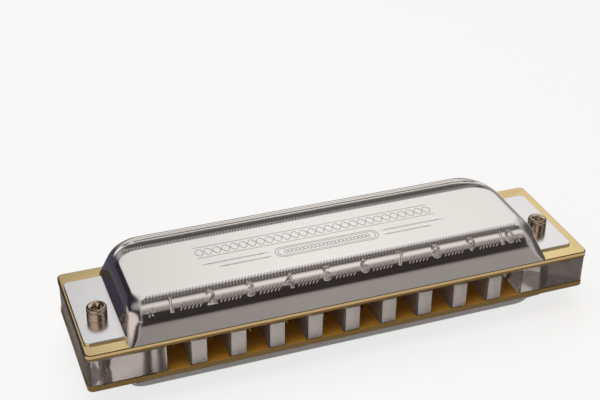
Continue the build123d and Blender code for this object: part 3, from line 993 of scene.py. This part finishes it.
def make_screw_mesh(radius, length):
    """A screw about the Z axis with the top of its head at zero."""
    mesh = bmesh.new()
    rows = [[(r, -depth)] * SCREW_SIDES for r, depth in head_profile(radius)[1:]]
    step = THREAD_PITCH / THREAD_ROWS
    count = int((length - HEAD_HEIGHT - SHANK_RADIUS / 2) / step)
    for i in range(1, count):
        depth = HEAD_HEIGHT + i * step
        row = []
        for j in range(SCREW_SIDES):
            turn_share = (depth / THREAD_PITCH + j / SCREW_SIDES) % 1
            row.append((SHANK_RADIUS - THREAD_DEPTH * (1 - abs(2 * turn_share - 1)), -depth))
        rows.append(row)
    rows.append([(SHANK_RADIUS - THREAD_DEPTH - 0.3, -length)] * SCREW_SIDES)
    rings = []
    for row in rows:
        rings.append([mesh.verts.new((r * math.cos(2 * math.pi * j / SCREW_SIDES),
                                      r * math.sin(2 * math.pi * j / SCREW_SIDES), z))
                      for j, (r, z) in enumerate(row)])
    top = mesh.verts.new((0, 0, -head_profile(radius)[0][1]))
    for j in range(SCREW_SIDES):
        k = (j + 1) % SCREW_SIDES
        mesh.faces.new((top, rings[0][j], rings[0][k]))
        for upper, lower in zip(rings, rings[1:]):
            mesh.faces.new((upper[j], lower[j], lower[k], upper[k]))
    mesh.faces.new(rings[-1][::-1])
    bmesh.ops.recalc_face_normals(mesh, faces=mesh.faces)
    return as_mesh("screw", mesh)


ARM_LENGTH, ARM_WIDTH = 2.5, 0.62
RECESS_MIDDLE, RECESS_HEIGHT = -0.45, 1.3
NARROWED = 0.55


def make_recess_cutter():
    """Two crossed wedges, wide at the top and narrow below, and the pit between their arms."""
    mesh = bmesh.new()
    for turned in (0, 90):
        wedge = bmesh.ops.create_cube(mesh, size=1.0)["verts"]
        for vertex in wedge:
            share = 1.0 if vertex.co.z > 0 else NARROWED
            vertex.co = Vector((vertex.co.x * ARM_LENGTH * share,
                                vertex.co.y * ARM_WIDTH * (0.6 + 0.4 * share),
                                RECESS_MIDDLE + vertex.co.z * RECESS_HEIGHT))
        bmesh.ops.rotate(mesh, verts=wedge, cent=(0, 0, 0),
                         matrix=Matrix.Rotation(math.radians(turned), 3, "Z"))
    pit = bmesh.ops.create_cone(mesh, cap_ends=True, segments=20, radius1=0.3, radius2=1.0,
                                depth=RECESS_HEIGHT)["verts"]
    bmesh.ops.translate(mesh, verts=pit, vec=(0, 0, RECESS_MIDDLE))
    return as_mesh("cutter", mesh)


print("head:", len(head_profile(1.9)), "points")

# %% Cover screws
RECESS_TURN = {"left": 20, "right": 50}
cutter = in_scene("cutter", make_recess_cutter())
for side, turned in RECESS_TURN.items():
    node = f"cover_screw_{side}"
    low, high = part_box(node)
    screw_mesh = make_screw_mesh((high.x - low.x) / 2 / MM, (high.z - low.z) / MM)
    cut = ("BOOLEAN", {"object": cutter, "operation": "DIFFERENCE", "solver": "EXACT",
                       "use_self": True})
    screw = finished(f"{node}_turned", screw_mesh, nickel_plate, [cut], 40)
    screw.data.transform(Matrix.Translation(((low.x + high.x) / 2, (low.y + high.y) / 2, high.z))
                         @ TO_METRES @ Matrix.Rotation(math.radians(turned), 4, "Z"))
    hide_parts(node)
    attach(screw, BODY)
    print(screw.name, len(screw.data.polygons), "faces")
bpy.data.objects.remove(cutter)

# %% [markdown]
# ## Floor, light and camera
# Polished metal shows what stands round it, so the light is part of the look. Such a piece is
# best lit by long soft boxes that run along it, with dark gaps between them that draw its
# curves. The world holds those bands, by their angle round the row of holes, and a broad lamp
# adds the soft shadow. The paper below glows a little by itself where the camera, the metal or
# the clear comb looks at it, so it reads as white and still keeps the shadow. Metal sees less of
# that glow than the rest does.

# %% Floor
floor_material, tree, shader, place = new_material("pale_paper")
shader.inputs["Base Color"].default_value = linear("F6F5F3")
shader.inputs["Roughness"].default_value = 0.9
FLOOR_GLOW, FLOOR_GLOSS_SHARE, FLOOR_GLOSS_LEVEL = 0.75, 0.6, 0.25
ray = add_node(tree, "ShaderNodeLightPath")
off_metal = add_node(tree, "ShaderNodeMath", operation="SUBTRACT", use_clamp=True,
                     links={0: ray.outputs["Is Glossy Ray"], 1: ray.outputs["Is Transmission Ray"]})
mirrored = add_node(tree, "ShaderNodeMath", operation="MULTIPLY", values={1: FLOOR_GLOSS_SHARE},
                    links={0: off_metal})
seen = add_node(tree, "ShaderNodeMath", operation="MAXIMUM",
                links={0: ray.outputs["Is Camera Ray"], 1: mirrored})
seen = add_node(tree, "ShaderNodeMath", operation="MAXIMUM",
                links={0: seen, 1: ray.outputs["Is Transmission Ray"]})
share = add_node(tree, "ShaderNodeMath", operation="MULTIPLY", values={1: FLOOR_GLOW}, links={0: seen})
strength = add_node(tree, "ShaderNodeMapRange", values={"To Min": 1.0, "To Max": FLOOR_GLOSS_LEVEL},
                    links={"Value": off_metal})
glow = add_node(tree, "ShaderNodeEmission", values={"Color": linear("FFFFFF")},
                links={"Strength": strength})
paper = add_node(tree, "ShaderNodeMixShader", links={0: share, 1: shader, 2: glow})
feed(tree.nodes["Material Output"], {"Surface": paper})
FLOOR_HALF = 20.0
floor_mesh = bpy.data.meshes.new("floor")
corners = [(x * FLOOR_HALF, y * FLOOR_HALF, 0) for x, y in ((-1, -1), (1, -1), (1, 1), (-1, 1))]
floor_mesh.from_pydata(corners, [], [(0, 1, 2, 3)])
floor_mesh.materials.append(floor_material)
floor = in_scene("floor", floor_mesh)
print("floor laid")

# %% [markdown]
# The left end wall of the cover looks down past the plate, at the floor behind it, and a card
# laid there unseen gives it something dark to mirror.

# %% Black card
card_material, tree, shader, place = new_material("black_card")
shader.inputs["Base Color"].default_value = linear("56525C")
shader.inputs["Roughness"].default_value = 0.8
card_mesh = bpy.data.meshes.new("black_card")
CARD_LEVEL = 0.4
CARD_CORNERS = [(-3000, -5), (-51.5, -5), (-51.5, 14.5), (-15, 14.5), (-15, 3000), (-3000, 3000)]
card_mesh.from_pydata([Vector((x, y, CARD_LEVEL)) * MM for x, y in CARD_CORNERS], [],
                      [range(len(CARD_CORNERS))])
card_mesh.materials.append(card_material)
card = in_scene("black_card", card_mesh)
card.visible_camera = card.visible_shadow = card.visible_diffuse = card.visible_transmission = False
print("card laid")

# %% [markdown]
# The world is built from the way a direction points. Seen in the plane across the row of
# holes, a box hangs low behind, another overhead, with a dark gap between and a dark front.
# Past either end the studio is a soft grey that brightens upwards. A black flag stands behind
# to the left and gives the cover's end its dark side, and a dark screen above the left darkens
# its edges. A window at the left lights the front corner there, and a grey screen at the right
# shades the far one. The camera itself sees plain white paper behind it all.

# %% World
world = bpy.data.worlds.new("soft_boxes")
bpy.context.scene.world = world
world.use_nodes = True
tree = world.node_tree
tree.nodes.clear()
direction = add_node(tree, "ShaderNodeTexCoord")
parts = add_node(tree, "ShaderNodeSeparateXYZ", links={"Vector": direction.outputs["Generated"]})
angle = add_node(tree, "ShaderNodeMath", operation="ARCTAN2",
                 links={0: parts.outputs["Z"], 1: parts.outputs["Y"]})
half_turns = add_node(tree, "ShaderNodeMath", operation="DIVIDE", values={1: math.pi}, links={0: angle})
BANDS = [(0, "938E8B"), (4, "57524F"), (28, "5D5855"), (31, "FFFDFA"), (66, "FFFDFA"), (75, "59534E"),
         (90, "5B5550"), (100, "F6EFE9"), (108, "F6EFE9"), (120, "A39D99"), (130, "9E9894"),
         (135, "38322F"), (162, "2E2928"), (170, "716B68"), (180, "9E9894")]
bands = add_node(tree, "ShaderNodeValToRGB", links={"Fac": half_turns},
                 stops=[(degrees / 180, tone) for degrees, tone in BANDS])
fall_off = add_node(tree, "ShaderNodeValToRGB", links={"Fac": parts.outputs["X"]},
                    stops=[(0.12, 0.78), (0.3, 1.0), (0.5, 0.9)])
bands = add_node(tree, "ShaderNodeMix", data_type="RGBA", blend_type="MULTIPLY", values={"Factor": 1.0},
                 links={"A": bands, "B": fall_off})
sky = add_node(tree, "ShaderNodeValToRGB", links={"Fac": parts.outputs["Z"]},
               stops=[(0.0, "7C7876"), (0.3, "A8A4A1"), (0.7, "C4C0BD"), (1.0, "E4E0DD")])


def region(*edges):
    """How much a direction lies in a region: for each edge an axis, where it is out and where in."""
    inside = None
    for axis, outside, within in edges:
        step = add_node(tree, "ShaderNodeMapRange", interpolation_type="SMOOTHSTEP",
                        values={"From Min": outside, "From Max": within},
                        links={"Value": parts.outputs[axis]})
        inside = step if inside is None else add_node(tree, "ShaderNodeMath", operation="MULTIPLY",
                                                      links={0: step, 1: inside})
    return inside


def painted(sky, tone, where):
    """The sky with a tone laid over it, by a node that says how much where."""
    return add_node(tree, "ShaderNodeMix", data_type="RGBA", values={"B": linear(tone)},
                    links={"Factor": where, "A": sky})


facing_row = region(("X", 0.04, 0.11), ("X", 0.58, 0.48))
sky = add_node(tree, "ShaderNodeMix", data_type="RGBA",
               links={"Factor": facing_row, "A": sky, "B": bands})
flag = region(("X", 0.0, -0.12), ("Y", 0.55, 0.7))
sky = painted(sky, "4B4756", flag)
dark_screen = region(("X", 0.08, 0.0), ("X", -0.78, -0.66), ("Z", 0.35, 0.5), ("Z", 1.1, 0.9))
sky = painted(sky, "2E2A30", dark_screen)
PATCHES = [((-0.6, -0.6, 0.5), 36, 24, "E4D2CC"), ((0.9, 0.0, 0.4), 38, 22, "5A5552")]
for aim, outer, inner, tone in PATCHES:
    towards = Vector(aim).normalized()
    nearness = add_node(tree, "ShaderNodeVectorMath", operation="DOT_PRODUCT", values={1: towards},
                        links={0: direction.outputs["Generated"]})
    patch = add_node(tree, "ShaderNodeMapRange", interpolation_type="SMOOTHSTEP",
                     values={"From Min": math.cos(math.radians(outer)),
                             "From Max": math.cos(math.radians(inner))},
                     links={"Value": nearness})
    sky = painted(sky, tone, patch)
ray = add_node(tree, "ShaderNodeLightPath")
sky = painted(sky, "FAF9F8", where=ray.outputs["Is Camera Ray"])
backdrop = add_node(tree, "ShaderNodeBackground", values={"Strength": 1.0}, links={"Color": sky})
add_node(tree, "ShaderNodeOutputWorld", links={"Surface": backdrop})
print("world has", len(BANDS), "bands and", len(PATCHES), "patches")


# %% Lamps
def add_soft_box(name, place, aim, size, power):
    """A rectangular lamp at a place, in metres, turned towards a point."""
    lamp = bpy.data.lights.new(name, "AREA")
    lamp.shape = "RECTANGLE"
    lamp.size, lamp.size_y = size
    lamp.energy = power
    holder = in_scene(name, lamp)
    holder.location = place
    holder.rotation_euler = (Vector(aim) - Vector(place)).to_track_quat("-Z", "Y").to_euler()
    holder.visible_glossy = False


centre = (cad_box[0] + cad_box[1]) / 2
add_soft_box("overhead_box", place=(-0.1, 0.05, 0.6), aim=centre, size=(0.7, 0.4), power=2.6)
print("lamps placed")

# %% Camera
AZIMUTH = math.radians(-20.69)
ELEVATION = math.radians(31.29)
ROLL = math.radians(0.77)
DISTANCE = 241.35 * MM
AIM = Vector((-2.22, 9.55, 23.3)) * MM
camera_data = bpy.data.cameras.new("camera")
camera_data.lens = 73.5
camera_data.sensor_width = 36.0
camera_data.clip_start = 0.01
camera_data.clip_end = 100.0
camera = in_scene("camera", camera_data)
backwards = Vector((math.sin(AZIMUTH) * math.cos(ELEVATION),
                    -math.cos(AZIMUTH) * math.cos(ELEVATION), math.sin(ELEVATION)))
camera.location = AIM + backwards * DISTANCE
upright = (-backwards).to_track_quat("-Z", "Y").to_matrix()
camera.rotation_euler = (upright @ Matrix.Rotation(ROLL, 3, "Z")).to_euler()
bpy.context.scene.camera = camera
print("camera at", [round(v, 4) for v in camera.location])

# %% View settings
bpy.context.scene.view_settings.view_transform = "Standard"
bpy.context.view_layer.update()
